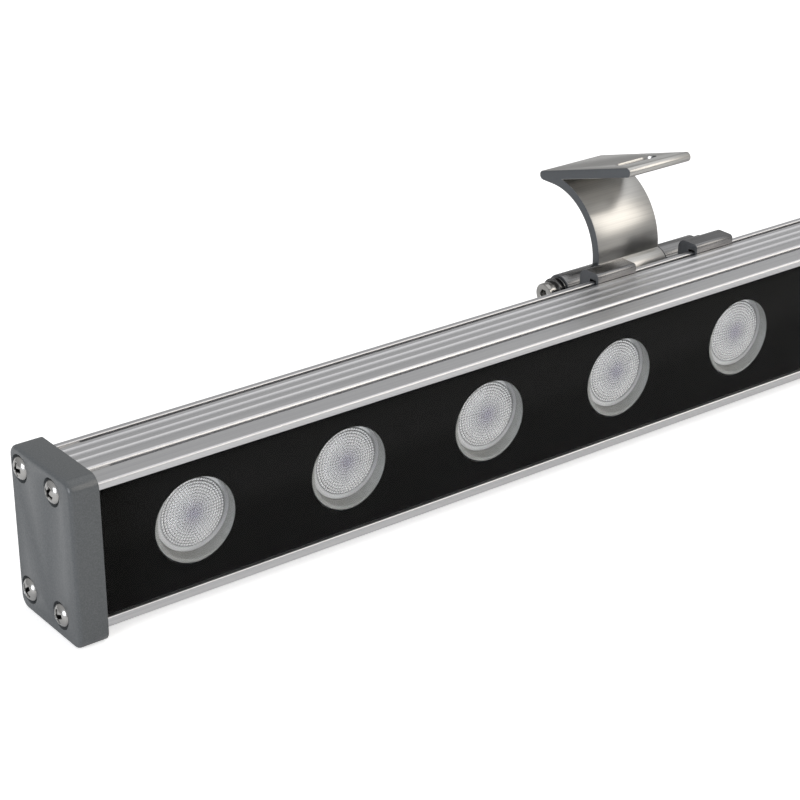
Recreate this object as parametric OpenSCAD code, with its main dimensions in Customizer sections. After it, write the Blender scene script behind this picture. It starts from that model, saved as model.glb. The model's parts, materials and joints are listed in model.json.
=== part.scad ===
// Linear floodlight: a long aluminium extrusion with round beaded lenses behind a
// black-printed glass, painted end caps, and two tilting brackets that slide on a top rail.
// X runs along the lamp, -Y is the side that the light leaves, +Z is up.
// The origin is under the middle of the whole lamp, on the surface that it stands on.

/* [Lamp] */
// Length of the aluminium extrusion, cut square at both ends
housing_length = 1000; // [990:1:1030]
// Distance from each end of the extrusion to the middle of its nearest lens
lens_inset = 33.3; // [28:0.1:36]

/* [Housing] */
// Depth of the extrusion, front to back
body_depth = 26.6; // [26.4:0.1:32]
// Height of the extrusion
body_height = 41.6; // [41:0.1:50]
// Thickness of the outer walls
wall = 1.8; // [1.4:0.1:2.4]
// Thickness of the inner shelf that carries the boards
web = 1.8; // [1.2:0.1:2.2]
// Distance from the housing's front to the inner shelf
web_place = 17.4; // [17:0.1:17.8]
// Height of the upper lip in front of the glass
lip_top = 2.2; // [1.8:0.1:2.6]
// Height of the lower lip in front of the glass
lip_bottom = 2.9; // [2.4:0.1:3.2]
// Thickness of both lips
lip_thick = 1; // [0.8:0.1:1.2]
// How far the glass reaches behind each lip
glass_cover = 0.9; // [0.6:0.1:1.2]
// Thickness of the ribs behind the glass
ledge_thick = 1; // [0.8:0.1:1.4]
// Radius on the outer corners of the extrusion
body_round = 0.7; // [0.4:0.1:1]
// Radius on the inner edges of the lips
lip_round = 0.35; // [0.2:0.05:0.6]
// Number of shallow flutes along the top
flute_count = 3; // [1:1:3]
// Distance from one flute to the next
flute_pitch = 3.5; // [3:0.1:3.8]
// Distance from the front face to the first flute
flute_place = 13.35; // [12.6:0.05:13.6]
// Radius of each flute
flute_radius = 3; // [2:0.1:4]
// Depth of each flute
flute_depth = 0.25; // [0.1:0.05:0.3]

/* [Screw channels] */
// Radius of the round channels that take the end screws
channel_radius = 1.8; // [1.6:0.05:2]
// Thickness of the wall round each channel
channel_wall = 1.3; // [1:0.1:1.6]
// Distance from the front face to the front channels
channel_front = 7.1; // [7:0.1:8]
// Distance from the back face to the rear channels
channel_back = 2.95; // [2.8:0.05:3.4]
// Distance from the top face to the upper channels
channel_top = 2.5; // [2.3:0.05:3]
// Distance from the bottom face to the lower channels
channel_bottom = 3.75; // [3:0.05:4.5]
// Distance from the front face to the slit above the front channels
slit_place = 6.45; // [6:0.05:6.6]
// Width of the slit above the front channels
slit_front = 2.25; // [1.2:0.05:2.4]
// Width of the slit above the rear channels, which guides the clamps
slit_rear = 1.7; // [1.4:0.05:2]
// Radius on the back edge of the front slit
slit_round = 0.9; // [0.4:0.1:1.1]

/* [Glass and lenses] */
// Thickness of the glass
glass_thick = 2.5; // [2:0.1:3]
// Thickness of the black print behind the glass
mask_thick = 0.15; // [0.1:0.05:0.3]
// Thickness of the seal strip behind the print
seal_thick = 0.45; // [0.3:0.05:0.6]
// Least black border between a clear window and the housing's lips
window_margin = 5.95; // [5.9:0.05:6.6]
// Height of the row of lenses above the housing's middle
lens_rise = 0.6; // [0:0.1:1]
// How far the row of windows lies below the row of lenses
window_drop = 1; // [0:0.1:1.4]
// How far the row of windows lies to the left of the row of lenses
window_shift = 0.9; // [0:0.1:1.2]
// How much smaller than its window each lens disc is, in radius
lens_rim = 1.1; // [0.8:0.1:1.8]
// Width of the smooth rim round the beaded field of a lens
field_margin = 1.2; // [0.8:0.1:1.6]
// How far the edge of the beaded field stands out from the rim
field_step = 0.15; // [0.1:0.05:0.3]
// How far the middle of the beaded field stands out from its edge
field_swell = 0.75; // [0.4:0.05:1]
// Thickness of the lens disc
lens_disc = 1.8; // [1.2:0.1:2.4]
// How deep each lens lies behind the print
lens_recess = 2.7; // [1.5:0.1:4]
// How far the lens disc stands out round the lens body
lens_step = 1.1; // [0.8:0.1:2.6]
// Radius of the lens body at its foot
lens_foot_radius = 5; // [4:0.1:6]
// Gap between the foot of the lens and the board
lens_foot_gap = 0.8; // [0.5:0.1:1.2]
// Radius of the hollow over each emitter
lens_hollow_radius = 2.9; // [2.5:0.1:3.4]
// How much smaller than the window the lens holder's mouth is, in radius
mouth_rim = 0.1; // [0:0.05:0.4]
// Wall of the lens holder outside its mouth
holder_wall = 1.1; // [0.8:0.05:1.6]
// Play between a lens and its holder
lens_play = 0.1; // [0.05:0.05:0.2]
// Play round fixed screws, threads and inserts
fit_play = 0.05; // [0.03:0.01:0.08]

/* [Boards] */
// Thickness of the aluminium boards
board_thick = 1.6; // [1:0.1:2]
// Distance from the housing's top and bottom faces to the aluminium boards
board_margin = 5.8; // [5:0.1:8]
// Half the gap between the two boards in the middle of the lamp
board_gap = 4.4; // [3.6:0.1:5]
// Gap between each board and the end of the housing
board_end_gap = 8; // [5:0.5:10]
// Side of the square emitter package
emitter_side = 3.5; // [3:0.1:3.8]
// Thickness of the emitter package
emitter_thick = 0.7; // [0.5:0.1:1]
// Radius of the dome on the emitter
emitter_dome = 1.3; // [1:0.1:1.5]
// Shank radius of the board screws
board_screw_radius = 1.5; // [1.2:0.1:1.8]
// Head radius of the board screws
board_screw_head = 2.8; // [2.4:0.1:3]
// Head height of the board screws
board_screw_rise = 1.6; // [1.2:0.1:2]
// Length of the driver board
driver_length = 160; // [120:1:200]
// Distance from the housing's top and bottom faces to the driver board
driver_margin = 7.3; // [7.1:0.1:9]
// Thickness of the driver board
driver_thick = 1.2; // [0.8:0.1:1.6]
// Thickness of the heat pad under the driver board
pad_thick = 0.5; // [0.3:0.1:0.8]
// Height of the parts on the driver board
driver_rise = 3.2; // [2:0.1:3.4]
// Radius of the inner wires
wire_radius = 0.6; // [0.4:0.05:0.8]
// Radius of the hole in the shelf that the wires pass through
wire_hole = 4.5; // [4.2:0.1:4.8]

/* [End caps] */
// Thickness of each end cap
cap_thick = 8.4; // [7:0.1:10]
// How far the cap stands out in front of the housing
cap_front = 2.35; // [2:0.05:3]
// How far the cap stands out behind the housing
cap_back = 2.35; // [2:0.05:3]
// How far the cap stands above the housing
cap_over = 3.1; // [2:0.05:3.5]
// How far the cap reaches below the housing
cap_under = 2.95; // [1.6:0.05:3.6]
// Radius of the cap's corners
cap_corner = 3.5; // [2.5:0.1:4.5]
// Radius on the cap's outer edge
cap_round = 1.2; // [0.6:0.1:1.6]
// Depth of the pocket that takes the end of the housing
pocket_depth = 3; // [2:0.1:4]
// Play between the housing and the pocket
pocket_play = 0.15; // [0.1:0.05:0.3]
// Thickness of the end gasket
gasket_thick = 1; // [0.6:0.1:1.5]
// Radius of the sunk seats for the end screws
seat_radius = 3.9; // [3.6:0.05:4.4]
// Depth of the sunk seats for the end screws
seat_depth = 1.2; // [0.6:0.1:2]
// Head radius of the end screws
end_head_radius = 3.35; // [3:0.05:3.5]
// Head height of the end screws
end_head_rise = 2.4; // [2:0.1:2.8]
// Length of the end screws under their heads
end_screw_length = 18; // [14:0.5:24]
// Radius of the screw holes in the caps
end_hole_radius = 2.15; // [2.05:0.05:2.4]
// Width of the cross recess in the heads
recess_width = 0.9; // [0.6:0.1:1.2]
// Length of the cross recess in the heads
recess_length = 4.4; // [3.6:0.1:5]
// Depth of the cross recess in the heads
recess_depth = 1.5; // [1:0.1:1.8]

/* [Cable gland] */
// Radius of the bore that the supply cable passes through
gland_bore = 3.6; // [3:0.1:4]
// Radius of the gland's thread
gland_thread = 6; // [5.5:0.1:6.5]
// Width across the flats of the gland's hexagons
gland_flats = 15; // [14:0.5:17]
// Thickness of the gland's flange
gland_flange = 4; // [3:0.1:5]
// Length of the gland's cap nut
gland_nut_length = 11; // [9:0.5:13]
// Radius of the rubber insert
gland_seal_radius = 4.7; // [4.5:0.1:5]
// Wall at the mouth of the cap nut
gland_mouth = 1.6; // [1.2:0.1:2]

/* [Bracket clamps] */
// Distance from each end of the lamp to the middle of its bracket
bracket_place = 223; // [150:1:240]
// Length of each clamp along the rail
clamp_length = 15.4; // [12:0.1:18]
// Play between a clamp and the arm
clamp_play = 0.15; // [0.1:0.05:0.3]
// Play between the clamp and the housing
rail_play = 0.3; // [0.2:0.05:0.35]
// Height of the clamp's bridge above the housing
bridge_rise = 2.8; // [2.2:0.1:3.4]
// Thickness of the clamp's bridge
bridge_thick = 2.2; // [1.6:0.1:2.4]
// Thickness of the leg behind the housing
leg_thick = 4.6; // [3.6:0.1:5]
// How far the leg reaches below the housing's top
leg_reach = 19.6; // [17.6:0.1:21.6]
// Radius on the front edge of the bridge
bridge_round = 1.2; // [0.6:0.1:1.4]
// Radius on the back edge of the bridge
leg_round = 3; // [2:0.1:3.4]
// Distance from the housing's back to the hinge
hinge_back = 14.2; // [13:0.1:16]
// How far the hinge lies below the housing's top
hinge_drop = 7.7; // [6.6:0.1:9.6]
// Radius of the knuckles round the hinge
knuckle_radius = 4.9; // [4.4:0.1:5.2]
// Thickness of the web that carries the knuckle
knuckle_web = 5; // [3:0.1:6]
// Radius of the set screws
set_screw_radius = 2; // [1.5:0.1:2.4]
// Height of the set screws above the leg's lower end
set_screw_place = 4; // [3.4:0.1:5]

/* [Bracket arm] */
// Width of the arm along the lamp
arm_width = 25; // [20:0.1:28]
// Thickness of the arm
arm_thick = 3; // [2.5:0.1:3.6]
// Outer radius of the arm's curve
arm_radius = 22.5; // [20:0.1:24]
// How far the curve starts above the hinge
arm_rise = 5.4; // [5:0.1:8]
// How far the arm's front face lies in front of the hinge
arm_front = 0.55; // [0:0.05:1.2]
// Length of the fixing plate
plate_length = 43.2; // [38:0.1:50]
// Tilt of the fixing plate at rest, in degrees
plate_tilt = 16.6; // [10:0.1:18]
// How far the plate's tail reaches past the middle of the curve
tail_reach = 5; // [4:0.1:7]
// Length of the slot in the plate, end to end
slot_length = 15; // [10:0.5:18]
// Width of the slot in the plate
slot_width = 6; // [5.4:0.1:7]
// Distance from the plate's front edge to the middle of the slot
slot_place = 10.8; // [8.6:0.1:18]

/* [Hinge screw] */
// Radius of the hinge screw
pin_radius = 2; // [1.5:0.05:2.4]
// Running clearance round the hinge screw
pin_play = 0.06; // [0.03:0.01:0.1]
// Head radius of the hinge screw
pin_head_radius = 3.5; // [3.3:0.1:4]
// Head height of the hinge screw
pin_head_rise = 3.6; // [3:0.1:5]
// Width across the flats of the hexagon socket
socket_flats = 3; // [2.5:0.1:4]
// Depth of the hexagon socket
socket_depth = 2.4; // [1.5:0.1:3]
// Radius of the flat washers
washer_radius = 4.3; // [4:0.1:4.6]
// Thickness of the flat washers
washer_thick = 0.8; // [0.6:0.1:1.2]
// Radius of the spring washer
spring_radius = 3.6; // [3.4:0.1:3.8]
// Thickness of the spring washer
spring_thick = 1.1; // [0.8:0.1:1.6]
// Width across the flats of the lock nut
nut_flats = 7; // [6.4:0.1:8]
// Thickness of the lock nut
nut_thick = 5; // [4:0.1:6]
// How far the screw stands out of the nut
pin_tip = 1.2; // [0.8:0.1:2.5]

/* [Hidden] */
$fn = 64;
lens_count = 20;
cut_over = 1;
half_share = 0.5;
// Places of the board screws from the middle of the lamp, in lens pitches
board_screw_shares = [1, 3, 6, 9];
coil_count = 2;
capacitor_count = 3;

// Places along the depth of the housing, from its front face
slot_back = lip_thick + glass_thick + mask_thick + seal_thick;
mask_front = lip_thick + glass_thick;
mask_back = mask_front + mask_thick;
board_front = web_place - board_thick;
web_back = web_place + web;
rear_face = body_depth - wall;
rear_channel = body_depth - channel_back;

// Heights in the housing, from its bottom face
glass_low = lip_bottom - glass_cover;
glass_high = body_height - lip_top + glass_cover;
upper_channel = body_height - channel_top;
lower_channel = channel_bottom;
clear_low = lip_bottom + lip_thick;
clear_high = body_height - lip_top - lip_thick;

// Rows of lenses and windows, and the boards behind them
lens_pitch = (housing_length - 2 * lens_inset) / (lens_count - 1);
lens_height = body_height / 2 + lens_rise;
window_height = lens_height - window_drop;
window_radius = (body_height - lip_top - lip_bottom) / 2 - window_margin;
lens_radius = window_radius - lens_rim;
lens_body_radius = lens_radius - lens_step;
field_radius = lens_radius - field_margin;
swell_radius = (pow(field_radius, 2) + pow(field_swell, 2)) / (2 * field_swell);
holder_mouth = window_radius - mouth_rim;
board_height = body_height - 2 * board_margin;
driver_height = body_height - 2 * driver_margin;

// Lens stack, measured forwards from the front of the boards
stack = board_front - mask_back;
lens_face = stack - lens_recess;
disc_low = lens_face - lens_disc;
holder_radius = holder_mouth + holder_wall;
holder_seat = lens_radius + lens_play;
holder_bore = holder_seat - (lens_radius - lens_body_radius) * half_share;
hollow_top = lens_foot_gap + emitter_thick + emitter_dome + lens_foot_gap;

// Lengths along the lamp
floor_thick = cap_thick - pocket_depth;
housing_end = housing_length / 2;
lamp_end = housing_end + gasket_thick + floor_thick;
board_length = housing_end - board_end_gap - board_gap;
board_centre = board_gap + board_length / 2;

// Driver place in the rear space, to the right of the wire hole
driver_left = 3 * wire_hole;
driver_middle = driver_left + driver_length / 2;
pad_back = web_back + pad_thick;
driver_back = pad_back + driver_thick;
coil_radius = driver_height / 5;
capacitor_radius = driver_rise / 2;
capacitor_length = 3 * driver_rise;

// Inner wires: their least gap, their bends, and how far they stand off a face
wire_space = 0.15;
wire_step = 2 * wire_radius + wire_space;
wire_bend = wire_radius * 3 / 2;
wire_lift = 2 * wire_radius;
link_rise_share = 0.75;

// Cap outline round the housing
cap_depth = body_depth + cap_front + cap_back;
cap_height = body_height + cap_under + cap_over;
cap_mid_y = (body_depth + cap_back - cap_front) / 2;
cap_mid_z = (body_height + cap_over - cap_under) / 2;
seat_floor = lamp_end - seat_depth;

// Cable gland in the right cap
gland_y = (slot_back + ledge_thick + web_place) / 2;
gland_z = lens_height;
gland_out = gland_flange + gland_nut_length;
gland_seal_length = gland_nut_length - gland_mouth;
gland_collar = (gland_flats - gland_mouth) / 2;

// Bracket places, measured from the housing's front and bottom
hinge_y = body_depth + hinge_back;
hinge_z = body_height - hinge_drop;
leg_front = body_depth + rail_play;
leg_back = leg_front + leg_thick;
leg_low = body_height - leg_reach;
bridge_top = body_height + bridge_rise;
bridge_low = bridge_top - bridge_thick;
hook_thick = slit_rear - 2 * rail_play;
hook_front = rear_channel - hook_thick / 2;
toe_radius = channel_radius - rail_play;
pin_bore = pin_radius + pin_play;
arm_half = arm_width / 2;
clamp_centre = arm_half + clamp_play + clamp_length / 2;
clamp_far = arm_half + clamp_play + clamp_length;
set_screw_z = leg_low + set_screw_place;
bracket_x = lamp_end - bracket_place;

// Arm outline, measured from the hinge
tail_radius = arm_thick / 2;
arc_y = arm_radius - arm_front;
arc_z = arm_rise;
tail_y = arc_y + tail_reach;
tail_z = arc_z + arm_radius - tail_radius;
plate_run = plate_length - tail_radius;

// Hinge screw, measured from the middle of the bracket
washer_stack = 2 * washer_thick + spring_thick;
pin_head_under = clamp_far + washer_stack;
nut_start = clamp_far + washer_thick;
pin_end = nut_start + nut_thick + pin_tip;

// The whole lamp, moved so that the origin is under its middle
reach_left = seat_floor + end_head_rise;
reach_right = lamp_end + gland_out;
reach_back = hinge_y + tail_y + tail_radius;
origin_x = (reach_left - reach_right) / 2;
origin_y = (cap_front - reach_back) / 2;
origin_z = cap_under;

function lens_name(i) = str("lens_", i < 10 ? "0" : "", i);
function lens_x(i) = (i - (lens_count + 1) / 2) * lens_pitch;
SIDES = ["left", "right"];

// Moves a shape from the housing's own place to the part's origin
module in_lamp() {
    translate([origin_x, origin_y, origin_z]) children();
}

// Extrudes an outline drawn in depth and height along the lamp, centred
module along_x(length) {
    rotate([90, 0, 90]) linear_extrude(length, center = true) children();
}

// Stands a shape with its axis towards the front of the lamp
module to_front() {
    rotate([90, 0, 0]) children();
}

// Lays a shape with its axis along +X
module to_right() {
    rotate([90, 0, 90]) children();
}

module ring(outer, inner, length) {
    difference() {
        cylinder(h = length, r = outer);
        translate([0, 0, -cut_over]) cylinder(h = length + 2 * cut_over, r = inner);
    }
}

// Box outline from one corner to the other
module box2(low_y, low_z, high_y, high_z) {
    translate([low_y, low_z]) square([high_y - low_y, high_z - low_z]);
}

// What is cut away to round an outer corner; dy and dz point out of the corner
module corner_cut(y, z, r, dy, dz) {
    difference() {
        translate([y - (dy > 0 ? r : cut_over), z - (dz > 0 ? r : cut_over)])
            square([r + cut_over, r + cut_over]);
        translate([y - dy * r, z - dz * r]) circle(r);
    }
}

module hexagon(flats) {
    circle(r = flats / sqrt(3), $fn = 6);
}

// The four screw places in the end of the housing
module at_channels() {
    for (y = [channel_front, rear_channel], z = [lower_channel, upper_channel])
        translate([y, z]) children();
}

module housing_walls() {
    difference() {
        box2(0, 0, body_depth, body_height);
        box2(-cut_over, lip_bottom, lip_thick + cut_over, body_height - lip_top);
        box2(lip_thick, glass_low, slot_back, glass_high);
        box2(slot_back - cut_over, clear_low, slot_back + ledge_thick + cut_over, clear_high);
        box2(slot_back + ledge_thick, wall, web_place, body_height - wall);
        box2(web_back, wall, rear_face, body_height - wall);
    }
}

// Slits that open the front and rear channels to the outside
module slit_pair(low, high) {
    box2(slit_place, low, slit_place + slit_front, high);
    box2(rear_channel - slit_rear / 2, low, rear_channel + slit_rear / 2, high);
}

module housing_outline() {
    difference() {
        union() {
            housing_walls();
            intersection() {
                at_channels() circle(channel_radius + channel_wall);
                box2(0, 0, body_depth, body_height);
            }
        }
        box2(lip_thick, glass_low, slot_back, glass_high);
        at_channels() circle(channel_radius);
        slit_pair(upper_channel, body_height + cut_over);
        slit_pair(-cut_over, lower_channel);
        for (z = [0, 1], y = [0, 1])
            corner_cut(y * body_depth, z * body_height, body_round, 2 * y - 1, 2 * z - 1);
        corner_cut(slit_place + slit_front, body_height, slit_round, -1, 1);
        corner_cut(rear_channel + slit_rear / 2, body_height, lip_round, -1, 1);
        corner_cut(0, lip_bottom, lip_round, -1, 1);
        corner_cut(0, body_height - lip_top, lip_round, -1, -1);
        for (i = [0 : flute_count - 1])
            translate([flute_place + i * flute_pitch, body_height + flute_radius - flute_depth])
                circle(flute_radius);
    }
}

module housing() {
    color("silver") in_lamp() difference() {
        along_x(housing_length) housing_outline();
        translate([0, web_back + cut_over, lens_height])
            to_front() cylinder(h = web + 2 * cut_over, r = wire_hole);
        at_board_screws() translate([0, 0, -web - cut_over])
            cylinder(h = web + 2 * cut_over, r = board_screw_radius);
    }
}

// Flat slab with rounded corners and one rounded rim, lying on its back
module soft_slab(width, height, thick, r, rim) {
    half_w = width / 2 - r;
    half_h = height / 2 - r;
    for (sx = [-1, 1], sy = [-1, 1])
        translate([sx * half_w, sy * half_h, 0]) rotate_extrude() rim_profile(r, thick, rim);
    for (turn = [0, 180]) rotate([0, 0, turn]) {
        translate([half_w, half_h, 0]) rotate([90, 0, 0])
            linear_extrude(2 * half_h) rim_profile(r, thick, rim);
        rotate([0, 0, 90]) translate([half_h, half_w, 0]) rotate([90, 0, 0])
            linear_extrude(2 * half_w) rim_profile(r, thick, rim);
    }
    translate([-half_w, -half_h, 0]) cube([2 * half_w, 2 * half_h, thick]);
}

module rim_profile(r, thick, rim) {
    square([r - rim, thick]);
    square([r, thick - rim]);
    translate([r - rim, thick - rim]) intersection() {
        circle(rim);
        square(rim);
    }
}

// End cap standing at x = 0 with its outer face towards +X
module cap_shape() {
    difference() {
        translate([0, cap_mid_y, cap_mid_z]) to_right()
            soft_slab(cap_depth, cap_height, cap_thick, cap_corner, cap_round);
        translate([pocket_depth / 2 - cut_over / 2, 0, 0]) along_x(pocket_depth + cut_over)
            box2(-pocket_play, -pocket_play, body_depth + pocket_play, body_height + pocket_play);
        to_right() linear_extrude(cap_thick + cut_over) at_channels() circle(end_hole_radius);
        translate([cap_thick - seat_depth, 0, 0]) to_right()
            linear_extrude(seat_depth + cut_over) at_channels() circle(seat_radius);
    }
}

// Places what is drawn with its outer face towards +X at the named end of the lamp
module at_end(side) {
    if (side == "right") translate([lamp_end, 0, 0]) children();
    if (side == "left") translate([-lamp_end, 0, 0]) mirror([1, 0, 0]) children();
}

module end_cap(side) {
    color("dimgray") in_lamp() at_end(side) difference() {
        translate([-cap_thick, 0, 0]) cap_shape();
        if (side == "right") translate([-cap_thick - cut_over, gland_y, gland_z]) to_right()
            cylinder(h = cap_thick + 2 * cut_over, r = gland_thread);
    }
}

module end_gasket(side) {
    color("gray") in_lamp() at_end(side)
        translate([-floor_thick - gasket_thick / 2, 0, 0]) along_x(gasket_thick) difference() {
            box2(0, 0, body_depth, body_height);
            at_channels() circle(end_hole_radius);
            translate([gland_y, gland_z]) circle(gland_thread);
        }
}

module pan_head(radius, rise) {
    difference() {
        rotate_extrude() intersection() {
            translate([0, rise - 2 * radius]) circle(2 * radius);
            square([radius, rise]);
        }
        for (turn = [0, 90]) rotate([0, 0, turn])
            translate([-recess_length / 2, -recess_width / 2, rise - recess_depth])
                cube([recess_length, recess_width, recess_depth + cut_over]);
    }
}

module end_screws(side) {
    color("gainsboro") in_lamp() at_end(side)
        for (y = [channel_front, rear_channel], z = [lower_channel, upper_channel])
            translate([-seat_depth, y, z]) to_right() {
                pan_head(end_head_radius, end_head_rise);
                translate([0, 0, -end_screw_length])
                    cylinder(h = end_screw_length, r = channel_radius - fit_play);
            }
}

module front_glass() {
    color("lightcyan", 0.4) in_lamp() along_x(housing_length)
        box2(lip_thick, glass_low, mask_front, glass_high);
}

module black_mask() {
    color("black") in_lamp() difference() {
        along_x(housing_length) box2(mask_front, glass_low, mask_back, glass_high);
        translate([-window_shift, 0, 0]) at_lenses(mask_back + cut_over, window_height)
            cylinder(h = mask_thick + 2 * cut_over, r = window_radius);
    }
}

// Puts a shape at the place of every lens, with its axis towards the front
module at_lenses(depth, height = lens_height) {
    for (i = [1 : lens_count]) translate([lens_x(i), depth, height]) to_front() children();
}

module glass_seal() {
    color("darkslategray") in_lamp() difference() {
        along_x(housing_length) box2(mask_back, glass_low, slot_back, glass_high);
        along_x(housing_length - 2 * board_gap) box2(mask_back - cut_over, clear_low,
            slot_back + cut_over, clear_high);
    }
}

module lens(i) {
    color("whitesmoke") in_lamp() translate([lens_x(i), board_front, lens_height]) to_front() {
        rotate_extrude() polygon([
            [0, hollow_top], [lens_hollow_radius, hollow_top], [lens_hollow_radius, lens_foot_gap],
            [lens_foot_radius, lens_foot_gap], [lens_body_radius, disc_low],
            [lens_radius, disc_low], [lens_radius, lens_face], [0, lens_face]
        ]);
        // The beaded field, as one low dome
        intersection() {
            translate([0, 0, lens_face + field_step + field_swell - swell_radius])
                sphere(swell_radius);
            translate([0, 0, disc_low + lens_disc / 2])
                cylinder(h = lens_recess, r = field_radius);
        }
    }
}

module lens_holders() {
    color("silver") in_lamp() at_lenses(board_front) rotate_extrude() polygon([
        [holder_bore, 0], [holder_radius, 0], [holder_radius, stack], [holder_mouth, stack],
        [holder_seat, lens_face], [holder_seat, disc_low], [holder_bore, disc_low]
    ]);
}

// Screw places on both boards, with the axis towards the front from the shelf's face
module at_board_screws() {
    for (side = [-1, 1], share = board_screw_shares)
        translate([side * share * lens_pitch, web_place, lens_height]) to_front() children();
}

module led_board(side) {
    color("white") in_lamp() difference() {
        translate([side * board_centre - board_length / 2, board_front, board_margin])
            cube([board_length, board_thick, board_height]);
        at_board_screws() translate([0, 0, -cut_over])
            cylinder(h = board_thick + 2 * cut_over, r = board_screw_radius);
    }
}

module led_emitters() {
    color("khaki") in_lamp() at_lenses(board_front) {
        translate([-emitter_side / 2, -emitter_side / 2, 0])
            cube([emitter_side, emitter_side, emitter_thick]);
        translate([0, 0, emitter_thick]) rotate_extrude() intersection() {
            circle(emitter_dome);
            square(emitter_dome);
        }
    }
}

module board_screws() {
    color("gainsboro") in_lamp() at_board_screws() {
        translate([0, 0, -web]) cylinder(h = web + board_thick,
            r = board_screw_radius - fit_play);
        translate([0, 0, board_thick]) pan_head(board_screw_head, board_screw_rise);
    }
}

module driver_block(low, high, height) {
    translate([driver_left, low, (body_height - height) / 2])
        cube([driver_length, high - low, height]);
}

module driver_pad() {
    color("slategray") in_lamp() driver_block(web_back, pad_back, driver_height);
}

module driver_board() {
    color("darkgreen") in_lamp() driver_block(pad_back, driver_back, driver_height);
}

module driver_coils() {
    color("dimgray") in_lamp() for (i = [1 : coil_count])
        translate([driver_left + i * driver_length / 5, driver_back, lens_height])
            rotate([-90, 0, 0]) ring(coil_radius, coil_radius / 2, driver_rise);
}

module driver_capacitors() {
    color("black") in_lamp() for (i = [1 : capacitor_count])
        translate([driver_middle + i * driver_length / 8, driver_back + capacitor_radius,
            lens_height - capacitor_length / 2])
            cylinder(h = capacitor_length, r = capacitor_radius);
}

// Turns a shape so that its own X and Y lie along two crossed unit directions
module turned(x, y) {
    z = cross(x, y);
    rotate(abs(x[2]) > 0.999 ? [0, -90 * sign(x[2]), atan2(-y[0], y[1])]
        : [atan2(y[2], z[2]), -asin(x[2]), atan2(x[1], x[0])]) children();
}

// Wire through the given points, square at each corner and bent round it
module wire(points) {
    last = len(points) - 1;
    ways = [for (i = [1 : last]) (points[i] - points[i - 1]) / norm(points[i] - points[i - 1])];
    for (i = [1 : last]) {
        way = ways[i - 1];
        from = points[i - 1] + way * (i > 1 ? wire_bend : 0);
        to = points[i] - way * (i < last ? wire_bend : 0);
        translate(from) rotate([0, acos(way[2]), atan2(way[1], way[0])])
            cylinder(h = norm(to - from), r = wire_radius, $fn = 24);
    }
    for (i = [1 : last - 1]) translate(points[i] + (ways[i] - ways[i - 1]) * wire_bend)
        turned(-ways[i], ways[i - 1]) rotate_extrude(angle = 90)
            translate([wire_bend, 0]) circle(wire_radius, $fn = 24);
}

// Two wires from the driver to each board, through the hole in the shelf
module link_wires() {
    color("firebrick") in_lamp() for (side = [-1, 1], row = [-1, 1]) {
        z = lens_height + (row + side * half_share + link_rise_share) * wire_step;
        start = driver_left + 2 * wire_lift;
        turn = side * (board_gap + wire_lift);
        wire([
            [start, driver_back, z], [start, driver_back + wire_lift, z],
            [side * wire_lift, driver_back + wire_lift, z],
            [side * wire_lift, board_front - wire_lift, z],
            [turn, board_front - wire_lift, z], [turn, board_front, z]
        ]);
    }
}

// Supply lead from the gland along the bottom of the front space to the driver
module supply_wire() {
    color("black") in_lamp() {
        inside = housing_end - board_end_gap / 2;
        run_z = wall + 2 * wire_lift;
        pass_z = lens_height - 2 * wire_step;
        rear_y = driver_back + 2 * wire_lift;
        start = driver_left + 5 * wire_lift;
        wire([
            [lamp_end - floor_thick, gland_y, gland_z], [inside, gland_y, gland_z],
            [inside, gland_y, run_z], [0, gland_y, run_z], [0, gland_y, pass_z],
            [0, rear_y, pass_z], [start, rear_y, pass_z], [start, driver_back, pass_z]
        ]);
    }
}

module gland_body() {
    color("darkslategray") in_lamp() at_end("right") translate([0, gland_y, gland_z]) to_right()
        difference() {
            union() {
                translate([0, 0, -floor_thick]) cylinder(h = floor_thick,
                    r = gland_thread - fit_play);
                linear_extrude(gland_flange) hexagon(gland_flats);
            }
            translate([0, 0, -cap_thick]) cylinder(h = cap_thick + gland_flange + cut_over,
                r = gland_bore);
        }
}

module gland_nut() {
    color("darkslategray") in_lamp() at_end("right")
        translate([gland_flange, gland_y, gland_z]) to_right() difference() {
            union() {
                cylinder(h = gland_nut_length, r = gland_collar);
                linear_extrude(gland_nut_length / 2) hexagon(gland_flats - fit_play);
            }
            translate([0, 0, -cut_over]) cylinder(h = gland_seal_length + cut_over,
                r = gland_seal_radius + fit_play);
            cylinder(h = gland_nut_length + cut_over, r = gland_bore);
        }
}

module gland_seal() {
    color("black") in_lamp() at_end("right") translate([gland_flange, gland_y, gland_z]) to_right()
        ring(gland_seal_radius, gland_bore, gland_seal_length);
}

// Puts a shape at the named bracket, with the middle of the bracket at x = 0
module at_bracket(side) {
    translate([side == "left" ? -bracket_x : bracket_x, 0, 0]) children();
}

module clamp_outline() {
    difference() {
        union() {
            translate([rear_channel, upper_channel]) circle(toe_radius);
            box2(hook_front, upper_channel, hook_front + hook_thick, bridge_top);
            box2(hook_front, bridge_low, leg_back, bridge_top);
            box2(leg_front, leg_low, leg_back, bridge_top);
            box2(leg_front, hinge_z - knuckle_web / 2, hinge_y, hinge_z + knuckle_web / 2);
            translate([hinge_y, hinge_z]) circle(knuckle_radius);
        }
        translate([hinge_y, hinge_z]) circle(pin_bore);
        corner_cut(hook_front, bridge_top, bridge_round, -1, 1);
        corner_cut(leg_back, bridge_top, leg_round, 1, 1);
    }
}

// Clamp on the outer (-1) or inner (1) side of the named bracket
module clamp(side, place) {
    color("darkgray") in_lamp() at_bracket(side) translate([place * clamp_centre, 0, 0])
        difference() {
            along_x(clamp_length) clamp_outline();
            translate([0, leg_back + cut_over, set_screw_z]) to_front()
                cylinder(h = leg_thick + 2 * cut_over, r = set_screw_radius);
        }
}

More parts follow.
